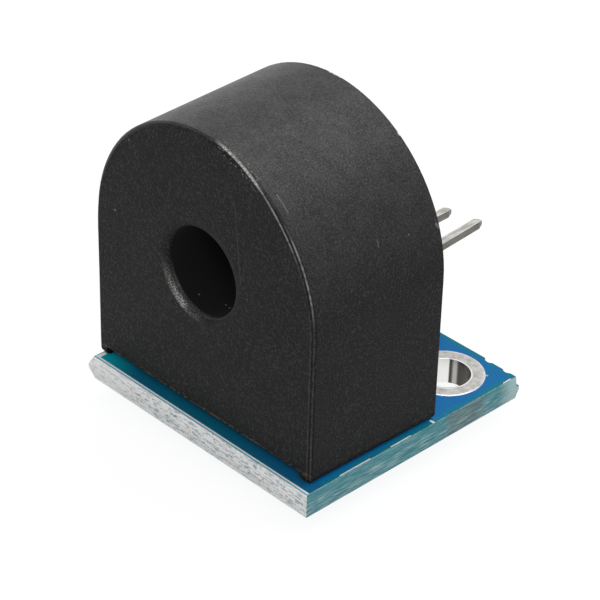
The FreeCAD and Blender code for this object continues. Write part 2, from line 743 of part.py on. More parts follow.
def make_header_pin(label, side, pin_tilt):
    """Square wire up through the insulator and bent to the rear, with a tapered tip."""
    body = new_body(label, pin_pitch / 2 * side, pin_row)
    tilt = math.radians(pin_tilt.value)
    sine = Size("sin(%s * 1 deg)" % pin_tilt.text, math.sin(tilt))
    cosine = Size("cos(%s * 1 deg)" % pin_tilt.text, math.cos(tilt))
    low = -pin_protrusion
    knee = pin_arm_height - bend_radius
    bend_y = bend_radius - bend_radius * sine
    bend_z = knee + bend_radius * cosine
    tip_start = pin_reach - tip_length * cosine
    arm_z = bend_z + (tip_start - bend_y) * sine / cosine
    tip_z = arm_z + tip_length * sine
    path = new_sketch(body, label + "_path", "YZ_Plane")
    path.addGeometry(Part.LineSegment(V(0, low.value, 0), V(0, knee.value, 0)), False)
    centre = V(bend_radius.value, knee.value, 0)
    bend = Part.ArcOfCircle(Part.Circle(centre, Z_AXIS, bend_radius.value), math.pi / 2 + tilt, math.pi)
    path.addGeometry(bend, False)
    arm_from = V(bend_y.value, bend_z.value, 0)
    arm_to = V(tip_start.value, arm_z.value, 0)
    path.addGeometry(Part.LineSegment(arm_from, arm_to), False)
    pin_point(path, 0, 1, ZERO, low)
    pin_point(path, 0, 2, ZERO, knee)
    pin_point(path, 1, 3, bend_radius, knee)
    path.addConstraint(Sketcher.Constraint("Coincident", 0, 2, 1, 2))
    path.addConstraint(Sketcher.Constraint("Coincident", 1, 1, 2, 1))
    number = path.addConstraint(Sketcher.Constraint("DistanceX", -1, 1, 2, 1, bend_y.value))
    bind(path, "Constraints[%d]" % number, bend_y)
    pin_point(path, 2, 2, tip_start, arm_z)
    profile = new_sketch(body, label + "_profile", "XY_Plane", low)
    square(profile, pin_square)
    doc.recompute()
    drawn = feature(body, "AdditivePipe", label + "_drawn", profile)
    drawn.Spine = (path, ["Edge1", "Edge2", "Edge3"])
    thick = tip_section(body, label + "_tip_start", pin_square, tip_start, arm_z, pin_tilt)
    thin = tip_section(body, label + "_tip_end", tip_square, pin_reach, tip_z, pin_tilt)
    loft(body, "AdditiveLoft", label + "_tip", thick, thin)
    lowest = low.value
    dress(body, "Chamfer", label + "_end_bevel",
          lambda edge: near(edge.BoundBox.ZMax, lowest), terminal_bevel)
    return keep(body)


# Sampling resistor, hanging under the board


def resistor_body_at(label, x=ZERO):
    """Piece of the resistor group, measured down from the underside."""
    return new_body(label, x, resistor_row, -plating)


def slab(body, name, left, right, width, top, bottom):
    """Block hanging between two depths below the board."""
    plan = new_sketch(body, name + "_plan", "XY_Plane", -as_size(bottom))
    rectangle(plan, left, right, -width / 2, width / 2)
    return pad(body, name, plan, bottom - top)


def make_resistor():
    """Ceramic chip with glaze, two wrapped end caps, lands and solder fillets."""
    half = resistor_length / 2
    gap = fit_gap
    ceramic = resistor_body_at("resistor_body")
    slab(ceramic, "ceramic", -half + cap_thick, half - cap_thick, resistor_width,
         gap + cap_thick, resistor_height - cap_thick)
    keep(ceramic)
    glaze = resistor_body_at("resistor_glaze")
    slab(glaze, "glaze", -half + cap_length, half - cap_length, resistor_width,
         resistor_height - cap_thick, resistor_height - cap_thick + glaze_thick)
    keep(glaze)
    for name, side in (("left", -1), ("right", 1)):
        cap = resistor_body_at("resistor_cap_" + name)
        inner = (half - cap_length) * side
        edge = half * side
        face = (half - cap_thick) * side
        shape = new_sketch(cap, "cap_section_" + name, "XZ_Plane", -resistor_width / 2)
        outline(shape, [(inner, -gap), (edge, -gap), (edge, -resistor_height), (inner, -resistor_height),
                        (inner, cap_thick - resistor_height), (face, cap_thick - resistor_height),
                        (face, -gap - cap_thick), (inner, -gap - cap_thick)])
        pad(cap, "cap_" + name, shape, resistor_width)
        keep(cap)
        land = new_body("resistor_pad_" + name, ZERO, resistor_row, ZERO)
        outer = (half + land_reach) * side
        spread = sorted((inner, outer), key=lambda limit: limit.value)
        slab(land, "land_" + name, spread[0], spread[1], resistor_width + land_margin * 2, ZERO, plating)
        keep(land)
        fillet = resistor_body_at("resistor_solder_" + name)
        reach = (half + land_reach - solder_toe) * side
        belly = (half + solder_belly) * side
        section = new_sketch(fillet, "fillet_section_" + name, "XZ_Plane", -resistor_width / 2)
        outline(section, [(inner, ZERO), (reach, ZERO), (reach, -gap), (belly, -solder_belly),
                          (edge, -solder_rise), (edge, -gap), (inner, -gap)])
        pad(fillet, "fillet_" + name, section, resistor_width)
        keep(fillet)


def make_all():
    """Build every piece in its place."""
    make_circuit_board()
    for name, side in (("left", -1), ("right", 1)):
        make_mounting_ring("mounting_ring_" + name, hole_pitch / 2 * side)
    make_transformer_case()
    make_toroid_core()
    make_core_insulation()
    make_secondary_winding()
    make_winding_tape()
    embedded = []
    for name, side in (("left", -1), ("right", 1)):
        embedded.append(make_terminal_pin("terminal_pin_" + name, side))
        embedded.append(make_winding_lead("winding_lead_" + name, side))
        embedded.append(make_lead_solder("lead_solder_" + name, side))
    make_potting_fill(embedded)
    for name, spot in joint_spots().items():
        owner, side = name.split("_")
        make_pin_pad("%s_pad_%s" % (owner, side), spot[0], spot[1])
        square_pin = owner == "header"
        pin_side = pin_square if square_pin else terminal_diameter
        make_solder("%s_solder_%s" % (owner, side), spot[0], spot[1], pin_side, square_pin)
    make_header_block()
    make_header_pin("header_pin_left", -1, pin_tilt_left)
    make_header_pin("header_pin_right", 1, pin_tilt_right)
    make_resistor()


def check_and_write():
    """Stop on any failed object, then write each piece."""
    doc.recompute()
    for thing in doc.Objects:
        for word in ("Invalid", "Error"):
            if word in thing.State:
                raise SystemExit("%s is %s" % (thing.Name, word))
    os.makedirs("parts", exist_ok=True)
    for piece in pieces:
        shape = piece.Shape
        if shape.isNull() or not shape.isValid() or not shape.Solids:
            raise SystemExit("%s has no sound solid" % piece.Label)
        shape.exportStep("parts/%s.step" % piece.Label)
        print("%-24s solids %d  volume %8.3f" % (piece.Label, len(shape.Solids), shape.Volume))
    print("pieces:", len(pieces))


make_all()
check_and_write()
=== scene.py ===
# %% [markdown]
# A small current sensor: a black moulded transformer on a blue circuit board.
# The solids come finished from the CAD frame. This lesson gives each piece its surface, sets the
# light and places the camera. It could be done by hand in the editors, but a script can be read,
# repeated and changed, so each finish is a short function and each size has a name.

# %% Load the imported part
import json
import math
import bpy
from mathutils import Matrix, Vector


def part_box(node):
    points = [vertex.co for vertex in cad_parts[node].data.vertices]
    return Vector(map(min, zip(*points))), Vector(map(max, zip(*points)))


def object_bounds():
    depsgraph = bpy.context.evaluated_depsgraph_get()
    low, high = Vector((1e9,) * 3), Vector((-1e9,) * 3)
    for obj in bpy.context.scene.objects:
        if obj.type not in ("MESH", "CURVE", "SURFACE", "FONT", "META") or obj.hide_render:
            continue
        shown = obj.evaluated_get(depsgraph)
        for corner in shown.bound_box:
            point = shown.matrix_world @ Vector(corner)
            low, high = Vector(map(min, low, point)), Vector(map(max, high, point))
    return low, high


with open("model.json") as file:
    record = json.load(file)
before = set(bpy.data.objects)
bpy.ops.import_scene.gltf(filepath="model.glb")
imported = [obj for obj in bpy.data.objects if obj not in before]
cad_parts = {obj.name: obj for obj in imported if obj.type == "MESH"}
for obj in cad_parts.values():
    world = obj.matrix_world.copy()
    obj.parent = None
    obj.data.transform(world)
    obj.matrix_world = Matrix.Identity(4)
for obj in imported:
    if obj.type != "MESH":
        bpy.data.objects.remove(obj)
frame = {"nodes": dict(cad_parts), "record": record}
cad_low, cad_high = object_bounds()
MM = 0.001
size_mm = [round(side / MM, 2) for side in cad_high - cad_low]
print("pieces:", len(frame["nodes"]), "size in mm:", size_mm)

# %% [markdown]
# Every finish below is placed on the object by measures in millimetres. They are read from the
# pieces themselves, so a line of print or a worn rim stays where it belongs if the part changes.
# Small torn webs stand out from the snapped board, so its faces lie a little inside its box.

# %% Measure the pieces


def limits(node):
    """Lowest and highest corner of a piece, in millimetres."""
    low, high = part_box(node)
    return Vector(low) / MM, Vector(high) / MM


board_low, board_high = limits("circuit_board")
case_low, case_high = limits("transformer_case")
WEB_REACH = 0.12
face_right = board_high.x - WEB_REACH
face_left = -face_right
face_front = board_low.y + WEB_REACH
face_rear = board_high.y - WEB_REACH
faces = [round(face, 2) for face in (face_left, face_right, face_front, face_rear)]
print("board faces, left, right, front and rear:", faces)

# %% [markdown]
# The case tapers a little, as moulded parts do so that they leave the mould: its front is narrower
# and lower than its rear. The bore's place and size come from the record that lies with the part.

# %% Measure the case and its bore
CASE_TAPER = 0.19
ARCH_RISE = 0.11
case_x = (case_low.x + case_high.x) / 2
case_front = case_low.y
case_rear = case_high.y
half_rear = (case_high.x - case_low.x) / 2
half_front = half_rear - CASE_TAPER
arch_rear = case_high.z - half_rear
arch_front = arch_rear - ARCH_RISE
bore = next(mount for mount in frame["record"]["mounts"] if mount["name"] == "primary_bore")
bore_x, _, bore_z = [part / MM for part in bore["pos_m"]]
bore_radius = bore["dims"]["r_mm"]
print("bore axis at x", round(bore_x, 3), "and z", round(bore_z, 3), "radius", bore_radius)
print("half the case:", round(half_front, 2), "mm in front,", round(half_rear, 2), "mm at the rear")

# %% [markdown]
# A surface's look is worked out by nodes. Written as node after node, even a simple formula fills a
# page, so one small class wraps a node's output and lends it Python's operators. Then a mask reads
# like the sum that it is, such as 1 - worn * grain.

# %% Shader values that can be added and multiplied


class Value:
    """One output of a node, with arithmetic."""

    def __init__(self, recipe, socket):
        self.recipe = recipe
        self.socket = socket

    def math(self, operation, *others):
        return self.recipe.sum_of(operation, self, *others)

    def __add__(self, other):
        return self.math("ADD", other)

    def __sub__(self, other):
        return self.math("SUBTRACT", other)

    def __mul__(self, other):
        return self.math("MULTIPLY", other)

    def __truediv__(self, other):
        return self.math("DIVIDE", other)

    def __radd__(self, other):
        return self.recipe.sum_of("ADD", other, self)

    def __rsub__(self, other):
        return self.recipe.sum_of("SUBTRACT", other, self)

    def __rmul__(self, other):
        return self.recipe.sum_of("MULTIPLY", other, self)

    def __rtruediv__(self, other):
        return self.recipe.sum_of("DIVIDE", other, self)


# %% [markdown]
# A recipe holds one node tree. Its method node makes any node from a type, its settings, which are
# set first, and the values or links of its sockets. All other methods are short names for the
# nodes that come up again and again: noise, soft steps, mixing two colours, distance to a line.

# %% A recipe of nodes


class Recipe:
    """A node tree that is written from Python."""

    def __init__(self, tree):
        self.tree = tree

    def node(self, kind, settings=None, inputs=None, output=0):
        made = self.tree.nodes.new("ShaderNode" + kind)
        for name, setting in (settings or {}).items():
            setattr(made, name, setting)
        for key, value in (inputs or {}).items():
            self.feed(made.inputs[key], value)
        return Value(self, made.outputs[output]) if made.outputs else made

    def feed(self, socket, value):
        """Link a value to a socket, or set the socket to a plain number or colour."""
        if isinstance(value, Value):
            self.tree.links.new(value.socket, socket)
        elif socket.type == "RGBA":
            socket.default_value = (*value, 1.0)
        else:
            socket.default_value = value

    def sum_of(self, operation, *parts):
        return self.node("Math", {"operation": operation}, dict(enumerate(parts)))

    def vector(self, operation, *parts, output=0):
        return self.node("VectorMath", {"operation": operation}, dict(enumerate(parts)), output)

    def scaled(self, vector, factor):
        return self.node("VectorMath", {"operation": "SCALE"}, {"Vector": vector, "Scale": factor})

    def soft_step(self, value, low, high):
        """0 below the low value, 1 above the high one, smooth between."""
        return self.node("MapRange", {"interpolation_type": "SMOOTHSTEP"},
                         {"Value": value, "From Min": low, "From Max": high})

    def band(self, value, low, high, soft):
        """1 between two values, falling off softly outside."""
        rise = self.soft_step(value, low - soft, low)
        return rise * (1 - self.soft_step(value, high, high + soft))

    def mix(self, first, second, share):
        """The first colour, turning into the second as the share goes from 0 to 1."""
        return self.node("Mix", {"data_type": "RGBA"}, {0: share, 6: first, 7: second}, 2)


# %% [markdown]
# A finish is a recipe for one solid's surface. It knows each spot's place in millimetres and the way
# the facet looks, and it adds the patterns that the pieces share: noise, specks, straight lines, and
# a relief over slightly rounded edges.

# %% A recipe for a solid's surface


class Finish(Recipe):
    """A material with places in millimetres."""

    def __init__(self, name):
        self.material = bpy.data.materials.new(name)
        self.material.use_nodes = True
        super().__init__(self.material.node_tree)
        self.shader = self.tree.nodes["Principled BSDF"]
        self.place = self.scaled(self.node("TexCoord", output="Object"), 1 / MM)
        self.facing = self.node("TexCoord", output="Normal")
        self.x, self.y, self.z = self.split(self.place)
        self.side, self.depth, self.up = self.split(self.facing)

    def split(self, vector):
        apart = self.node("SeparateXYZ", inputs={0: vector})
        return [Value(self, socket) for socket in apart.socket.node.outputs]

    def noise(self, per_mm, detail=2.0, stretch=(1, 1, 1), rough=0.5, shift=0.0):
        """Cloudy noise with about per_mm spots to the millimetre along each axis."""
        spots = [per_mm * factor for factor in stretch]
        place = self.vector("MULTIPLY", self.place, spots)
        place = self.vector("ADD", place, (shift, shift, shift))
        return self.node("TexNoise", inputs={"Vector": place, "Scale": 1.0, "Detail": detail,
                                             "Roughness": rough})

    def specks(self, per_mm, size, shift=0.0):
        """Small round dots, one to a cell, of a size given as a share of the cell."""
        place = self.vector("ADD", self.scaled(self.place, per_mm), (shift, shift, shift))
        near = self.node("TexVoronoi", inputs={"Vector": place, "Scale": 1.0, "Randomness": 1.0})
        return 1 - self.soft_step(near, size * 0.5, size)

    def line(self, start, end, width, soft=0.03):
        """1 on a straight line between two places, 0 away from it."""
        start, end = Vector(start), Vector(end)
        along = end - start
        from_start = self.vector("SUBTRACT", self.place, start)
        share = self.vector("DOT_PRODUCT", from_start, along / along.length_squared, output="Value")
        share = share.math("MINIMUM", 1.0).math("MAXIMUM", 0.0)
        nearest = self.scaled(tuple(along), share)
        away = self.vector("SUBTRACT", from_start, nearest)
        distance = self.vector("LENGTH", away, output="Value")
        return 1 - self.soft_step(distance, width / 2, width / 2 + soft)

    def bump(self, height, edge=None):
        """Relief of a height in millimetres, over softened edges where an edge radius is given."""
        inputs = {"Height": height, "Distance": MM, "Strength": 1.0}
        if edge:
            inputs["Normal"] = self.soft_edges(edge)
        return self.node("Bump", inputs=inputs)

    def soft_edges(self, radius):
        """Shading as if every edge had a small rounding, given in millimetres."""
        return self.node("Bevel", {"samples": 6}, {"Radius": radius * MM})

    def set(self, **sockets):
        """Feed the main shader, with its socket names written with underscores."""
        for name, value in sockets.items():
            self.feed(self.shader.inputs[name.replace("_", " ")], value)
        return self.material


# %% [markdown]
# Two helpers end the toolbox: one joins masks, the other puts a finished material on whole pieces.

# %% Join masks and dress pieces


def together(masks):
    """The strongest of several masks."""
    result = masks[0]
    for mask in masks[1:]:
        result = result.math("MAXIMUM", mask)
    return result


def dress(material, *nodes):
    """Give a material to whole CAD pieces."""
    for name in nodes:
        for slot in frame["nodes"][name].material_slots:
            slot.material = material
    print(material.name, "on", ", ".join(nodes))


# %% [markdown]
# The case's outline is two straight sides and a half circle. Its rim, its wear and its scratches all
# follow that outline, so they are placed by two measures: how far a spot lies inside the outer skin,
# and its angle round the arch. Both are worked out from the place alone, with no drawn map.

# %% Places on the case


def length_of(first, second):
    """Length of the longest side of a right-angled triangle."""
    return (first * first + second * second).math("SQRT")


def from_skin(made):
    """Distance inward from the case's outer skin, and angle round its arch."""
    back = (made.y - case_front) / (case_rear - case_front)
    across = made.x - case_x
    upward = made.z - arch_front - back * ARCH_RISE
    above = upward.math("MAXIMUM", 0.0)
    skin = half_front + back * CASE_TAPER - length_of(across, above)
    return skin, upward.math("ARCTAN2", across)


def from_bore(made):
    """Distance from the bore's axis, and angle round it."""
    across = made.x - bore_x
    upward = made.z - bore_z
    return length_of(across, upward), upward.math("ARCTAN2", across)


def close_to(made, distance, width, soft):
    """1 where a distance is under half the width, 0 a little further out."""
    return 1 - made.soft_step(distance, width / 2, width / 2 + soft)


# %% [markdown]
# The front rim's bevel has two edges, and both carry a thin painted highlight where the rim turns to
# the right. Noise breaks the highlights up. Towards the top the inner line runs out to the outer
# edge. All angles here go round the arch, from 0 at the right.

# %% Painted highlights on the front rim
RIM_BEVEL = 0.23
RIM_LINE = 0.04
LINE_SOFT = 0.05
LINE_INSET = 0.09
OUTER_LEAST, INNER_LEAST = 0.13, 0.12
OUTER_FROM, OUTER_TO, OUTER_END = math.radians(18), math.radians(34), math.radians(50)
INNER_FROM, INNER_TO = math.radians(42), math.radians(66)
SLIDE_FROM, SLIDE_TO = math.radians(38), math.radians(92)
WORN_FROM, WORN_TO = math.radians(63), math.radians(79)


def rim_edge(made, skin, angle):
    """Distance from the edge with the wear and a painted highlight: the bevel's inner edge at the
    right, its outer one at the top.
    """
    inward = (1 - made.soft_step(angle, SLIDE_FROM, SLIDE_TO)) * RIM_BEVEL
    return length_of(made.y - case_front - RIM_BEVEL + inward, skin - inward)


def painted_bevel_highlights(made, skin, angle):
    """The two painted highlights on the edges of the front bevel."""
    outer = length_of(made.y - case_front - RIM_BEVEL + LINE_INSET, skin - LINE_INSET)
    outer_share = made.band(angle, OUTER_FROM, OUTER_TO, 0.22) * 0.65 + OUTER_LEAST
    outer_share = outer_share * (1 - made.soft_step(angle, OUTER_TO, OUTER_END))
    inner = rim_edge(made, skin, angle)
    inner_share = made.band(angle, INNER_FROM, INNER_TO, 0.30) * 0.72 + INNER_LEAST
    inner_share = inner_share * (1 - made.soft_step(angle, INNER_TO, WORN_TO))
    broken = made.soft_step(made.noise(3.5, detail=2, shift=14.0), 0.34, 0.56) * 0.55 + 0.45
    return together([close_to(made, outer, RIM_LINE, LINE_SOFT) * outer_share,
                     close_to(made, inner, RIM_LINE, LINE_SOFT) * inner_share]) * broken


# %% [markdown]
# At the upper right the rim is worn pale, with a fringe of grains round it. The rear rim has a few
# chips near the top and one nick. Each mark is a band of angles, times a distance from its edge,
# times noise that frays it.

# %% Worn and chipped spots
WORN_WIDTH, WORN_SOFT = 0.08, 0.07
FRINGE_WIDTH, FRINGE_SOFT = 0.6, 0.2
CHIP_WIDTH, CHIP_SOFT = 0.10, 0.05
CHIPS_FROM, CHIPS_TO = math.radians(86), math.radians(94)
NICK_AT, NICK_HALF = math.radians(55), 0.008


def worn_spots(made, skin, angle):
    """Rubbed stretch of the front rim, and chips on the rear rim."""
    edge = rim_edge(made, skin, angle)
    rubbed = made.soft_step(made.noise(10, detail=3, rough=0.7, shift=9.0), 0.46, 0.60)
    fringe = made.soft_step(made.noise(9, detail=2, shift=30.0), 0.60, 0.68)
    fringe = fringe * close_to(made, edge, FRINGE_WIDTH, FRINGE_SOFT) * 0.35
    front = together([close_to(made, edge, WORN_WIDTH, WORN_SOFT) * (rubbed * 0.70 + 0.30), fringe])
    front = front * made.band(angle, WORN_FROM, WORN_TO, 0.10)
    chips = made.soft_step(made.noise(4, shift=21.0), 0.46, 0.54)
    chips = chips * made.band(angle, CHIPS_FROM, CHIPS_TO, 0.02)
    nick = made.band(angle, NICK_AT - NICK_HALF, NICK_AT + NICK_HALF, 0.008)
    rear = length_of(made.y - case_rear, skin)
    behind = together([chips, nick]) * close_to(made, rear, CHIP_WIDTH, CHIP_SOFT)
    return together([front, behind])


# %% [markdown]
# Scratches and specks lie where the photograph shows them. Each is a straight mark with a start, an
# end, a width and a strength. The pale ones are scuffs, the dark one is a fine bent groove on the
# right side, and three specks of dust lie low in the bore.

# %% Scratches and specks
SCRATCHES = [((4.961, -13.036, 18.403), (5.827, -13.039, 17.688), 0.05, 0.45),
             ((7.909, -8.299, 15.056), (8.066, -8.360, 14.711), 0.06, 0.30),
             ((8.158, -6.088, 14.625), (8.158, -6.080, 14.610), 0.08, 0.50),
             ((8.253, -4.046, 14.519), (8.300, -3.900, 14.300), 0.14, 0.60),
             ((2.398, -13.71, 17.17), (2.944, -13.71, 12.11), 0.03, 0.16),
             ((-7.66, -13.71, 12.15), (-7.60, -13.71, 12.15), 0.12, 0.45),
             ((-6.30, -13.71, 17.25), (-6.28, -13.71, 17.29), 0.10, 0.40)]
DARK_SCRATCH = [((8.598, -11.330, 12.718), (8.466, -8.964, 13.529), 0.07, 1.00),
                ((8.466, -8.964, 13.529), (8.472, -6.971, 13.662), 0.07, 0.80)]
BORE_SPECKS = [((-0.068, -12.01, 8.626), (-0.060, -12.02, 8.625), 0.05, 0.60),
               ((0.399, -12.169, 8.719), (0.410, -12.160, 8.720), 0.07, 0.60),
               ((-1.582, -12.697, 8.896), (-1.580, -12.690, 8.895), 0.05, 0.35)]


def scratches(made, marks):
    """Straight marks, each from its start to its end with a width and a strength."""
    return together([made.line(start, end, width, 0.03) * strength
                     for start, end, width, strength in marks])


# %% [markdown]
# The mouth of the bore is dished, and its lower left catches the light. That glint is given by a
# satin coat, and is also painted into the colour as a pale highlight. It grows slowly round the left
# side, peaks low down and falls off quickly. Angles go round the bore's axis, from 0 at the right,
# with the lower half negative.

# %% Light in the mouth of the bore
MOUTH_REACH = 0.62
GLINT_START = math.radians(-180)
GLINT_FROM, GLINT_TO = math.radians(-125), math.radians(-119)
GLINT_FALL, TAIL_FROM, TAIL_TO = math.radians(-109), math.radians(-106), math.radians(-80)


def mouth_glint(made, distance, turn):
    """Share of light in the dished mouth, from its place across and round it."""
    growing = made.soft_step(turn, GLINT_START, GLINT_FROM)
    falling = 1 - made.soft_step(turn, GLINT_TO, GLINT_FALL)
    tail = 1 - made.soft_step(turn, TAIL_FROM, TAIL_TO)
    peak = made.band(turn, GLINT_FROM, GLINT_TO, 0.16)
    share = growing * (falling * 0.46 + tail * 0.24) + peak * 0.30
    inner, outer = bore_radius + MOUTH_REACH * 0.45, bore_radius + MOUTH_REACH * 0.85
    return made.band(distance, inner, outer, 0.20) * share


# %% [markdown]
# The case is moulded from black plastic. Its mould was lightly textured, which gives the fine grain
# and dulls the shine. Flat black paint would lose the form, so the grain is a change of tone and a
# relief of hundredths of a millimetre. The arch and the mouth of the bore came smoother out of the
# mould: there a satin coat catches the light. A little flash, gone brown, hangs on the lower edge.

# %% Colour of the case
CASE_BLACK = (0.0010, 0.0010, 0.0010)
CASE_PALE = (0.0540, 0.0540, 0.0540)
# Colour of the painted highlights on the front bevel's edges.
CASE_BEVEL_HIGHLIGHT = (0.30, 0.30, 0.29)
# Pale of the rim's wear and of the dust in the bore; it also paints the highlight in the mouth.
CASE_WEAR_DUST_AND_GLINT = (0.62, 0.61, 0.58)
CASE_DUST = (0.20, 0.20, 0.20)
FLASH_BROWN = (0.140, 0.080, 0.045)
# Painted shade: the bore's wall gets one flat dark colour that stands in for the shade deep inside
# it.
BORE_PAINTED_SHADE = (0.0110, 0.0110, 0.0112)
FOOT_HEIGHT = 0.62


def low_flash(made):
    """Thin brown flash along the lower edge, most of it in front."""
    edge = case_low.z + FOOT_HEIGHT
    low_edge = made.band(made.z, edge - 0.02, edge + 0.09, 0.07)
    frontward = made.soft_step(made.depth * -1, 0.3, 0.6) * 0.8 + 0.2
    return low_edge * frontward * made.soft_step(made.noise(5, detail=3, shift=17.0), 0.44, 0.60)


def case_colour(made, grain, hole, wear, lines):
    """Grain, dust, painted bevel highlights, flash, wear, scratches and the bore's painted shade, one
    over the other.
    """
    clouds = made.noise(0.4, detail=2)
    tone = made.soft_step(grain, 0.47, 0.75) * 0.85 + clouds * 0.08
    colour = made.mix(CASE_BLACK, CASE_PALE, tone)
    dust = made.specks(1.9, 0.07) * made.soft_step(made.noise(0.7, shift=4.0), 0.54, 0.62)
    colour = made.mix(colour, CASE_DUST, dust * 0.7)
    # Painted highlights on the two edges of the front bevel.
    colour = made.mix(colour, CASE_BEVEL_HIGHLIGHT, lines)
    colour = made.mix(colour, FLASH_BROWN, low_flash(made) * 0.7)
    colour = made.mix(colour, CASE_WEAR_DUST_AND_GLINT, wear)
    colour = made.mix(colour, CASE_DUST, scratches(made, SCRATCHES))
    colour = made.mix(colour, CASE_BLACK, scratches(made, DARK_SCRATCH))
    # Painted shade on the bore's wall.
    colour = made.mix(colour, BORE_PAINTED_SHADE, hole)
    return made.mix(colour, CASE_WEAR_DUST_AND_GLINT, scratches(made, BORE_SPECKS))


# %% [markdown]
# The coat is pitted by the same fine texture, so it glitters instead of shining. It is kept off the
# front bevel, which stays dark between its two painted highlights, and out of the bore.

# %% Black moulded case
CASE_SPECULAR = 0.12
SATIN = 0.42
EDGE_SOFTNESS = 0.06


def black_case():
    made = Finish("case_black")
    skin, angle = from_skin(made)
    distance, turn = from_bore(made)
    hole = 1 - made.soft_step(distance, bore_radius + 0.005, bore_radius + 0.02)
    grain = made.noise(8.5, detail=3, rough=0.65)
    wear = worn_spots(made, skin, angle)
    # The last argument is the painted highlights on the front bevel.
    colour = case_colour(made, grain, hole, wear, painted_bevel_highlights(made, skin, angle))
    mouth = mouth_glint(made, distance, turn)
    # Painted highlight: the mouth's glint is also painted into the colour, in pale grains.
    painted_glint = mouth * made.soft_step(made.noise(13, detail=2, shift=50.0), 0.42, 0.66)
    colour = made.mix(colour, CASE_WEAR_DUST_AND_GLINT, painted_glint * 0.75)
    rough = (0.47 + grain * 0.12) * (1 - hole) + hole
    relief = (grain * 0.050 + made.noise(4, detail=2, shift=2.0) * 0.012) * (1 - hole) - wear * 0.02
    behind_bevel = case_front + RIM_BEVEL
    behind_rim = made.soft_step(made.y, behind_bevel - 0.14, behind_bevel - 0.06)
    arch = made.soft_step(made.up, -0.02, 0.65) * behind_rim
    pitted = made.soft_step(made.noise(10, detail=3, rough=0.75, shift=40.0), 0.34, 0.66)
    uneven = made.soft_step(made.noise(0.9, detail=3, shift=33.0), 0.38, 0.62) * 0.12
    satin = (arch * (pitted * 0.54 + uneven + 0.18) + mouth * (pitted * 0.8 + 0.5)) * (1 - hole)
    return made.set(Base_Color=colour, Roughness=rough, Specular_IOR_Level=CASE_SPECULAR,
                    Coat_Weight=satin, Coat_Roughness=SATIN,
                    Normal=made.bump(relief, EDGE_SOFTNESS))


dress(black_case(), "transformer_case")

# %% [markdown]
# The board is glass cloth in resin. Its two faces carry a blue mask, and its edges were scored and
# snapped, so they show the cloth: pale and frayed in front and on the left, greener and see-through
# on the right. One material serves them all, since it is one piece: the way each facet looks tells
# which of them it is. First the white print on its upper face: a thin line along the front edge, a
# thick return at its left end, and two dashes and a tick along the right edge.

# %% Printed outline
PRINT_WIDTH = 0.11
PRINT_SOFT = 0.02
PRINT_INSET = 0.12
RETURN_WIDTH = 0.24
RETURN_INSET = 0.20
DASHES = ((2.62, 4.93), (6.68, 8.22))
TICK_WIDTH = 0.15
TICK_LENGTH = 0.26
TICK_AT = 10.17


def printed_lines(made):
    """White lines on the upper face, with places measured from the front and right edges."""
    top = board_high.z
    front = face_front + PRINT_INSET
    left = face_left + RETURN_INSET
    right = face_right - 0.01
    tick = face_front + TICK_AT
    lines = [((face_left + 0.1, front), (face_right - 0.03, front), PRINT_WIDTH),
             ((left, front + 0.08), (left, front + 0.48), RETURN_WIDTH),
             ((right - TICK_LENGTH, tick), (right, tick), TICK_WIDTH)]
    for near, far in DASHES:
        lines.append(((right, face_front + near), (right, face_front + far), PRINT_WIDTH))
    print("printed lines:", len(lines))
    return together([made.line((*start, top), (*end, top), width, PRINT_SOFT)
                     for start, end, width in lines])


# %% [markdown]
# The lower face has copper tracks under its mask. Each runs from a terminal of the coil past an end
# of the resistor to a header pin, and shows as a lighter, slightly raised line.

# %% Copper tracks
TRACK_WIDTH = 0.9
TRACK_BEND = 2


def middle_of(node):
    """Middle of a piece, in millimetres."""
    low, high = limits(node)
    return (low + high) / 2


def copper_tracks(made):
    """Tracks under the mask of the lower face, from the terminals past the resistor to the pins."""
    chip_low, chip_high = limits("resistor_body")
    chip_y = middle_of("resistor_body").y
    masks = []
    for side, end_x in (("left", chip_low.x), ("right", chip_high.x)):
        coil_pin = middle_of("terminal_pin_" + side)
        out_pin = middle_of("header_solder_" + side)
        stops = [(coil_pin.x, coil_pin.y, 0), (coil_pin.x, chip_y - TRACK_BEND, 0),
                 (end_x, chip_y, 0), (out_pin.x, out_pin.y, 0)]
        masks += [made.line(start, end, TRACK_WIDTH) for start, end in zip(stops, stops[1:])]
    return together(masks)


# %% [markdown]
# The mask is a blue lacquer. It thins out to teal near the edges and in broad clouds. In the narrow
# strip before the case it goes from teal on the left to a deep blue; the darker blue there is painted
# shade of the case. White print, dust and two chips in the lacquer lie on top of it.

# %% Blue mask
MASK_BLUE = (0.008, 0.175, 0.470)
MASK_TEAL = (0.008, 0.215, 0.300)
STRIP_LEFT = (0.004, 0.360, 0.460)
# Painted shade of the case in the strip before it, in the middle and on the right.
STRIP_MIDDLE_SHADE = (0.006, 0.138, 0.240)
STRIP_RIGHT_SHADE = (0.010, 0.135, 0.300)
PRINT_WHITE = (0.97, 0.97, 0.97)
RIM_TEAL = (0.010, 0.460, 0.540)
TRACK_BLUE = (0.020, 0.200, 0.480)
CHIP_START, CHIP_END = 1.12, 0.58
FLECK = ((7.90, 1.65), (7.93, 1.70))


def front_strip_tint_and_shade(made):
    """Colour of the mask in the strip before the case, from left to right, darkened as painted shade
    of the case.
    """
    turning_blue = made.soft_step(made.x, face_left + 0.3, face_left + 3.6)
    along = made.mix(STRIP_LEFT, STRIP_MIDDLE_SHADE, turning_blue)
    return made.mix(along, STRIP_RIGHT_SHADE, made.soft_step(made.x, 1.0, face_right - 1.0))


def bare_spots(made):
    """A long chip at the right rear corner and a fleck beside the right ring."""
    top = board_high.z
    chip = made.line((face_right, face_rear - CHIP_START, top),
                     (face_right - 0.02, face_rear - CHIP_END, top), 0.10, 0.04)
    fleck = made.line((*FLECK[0], top), (*FLECK[1], top), 0.11, 0.04)
    return together([chip, fleck * 0.4])


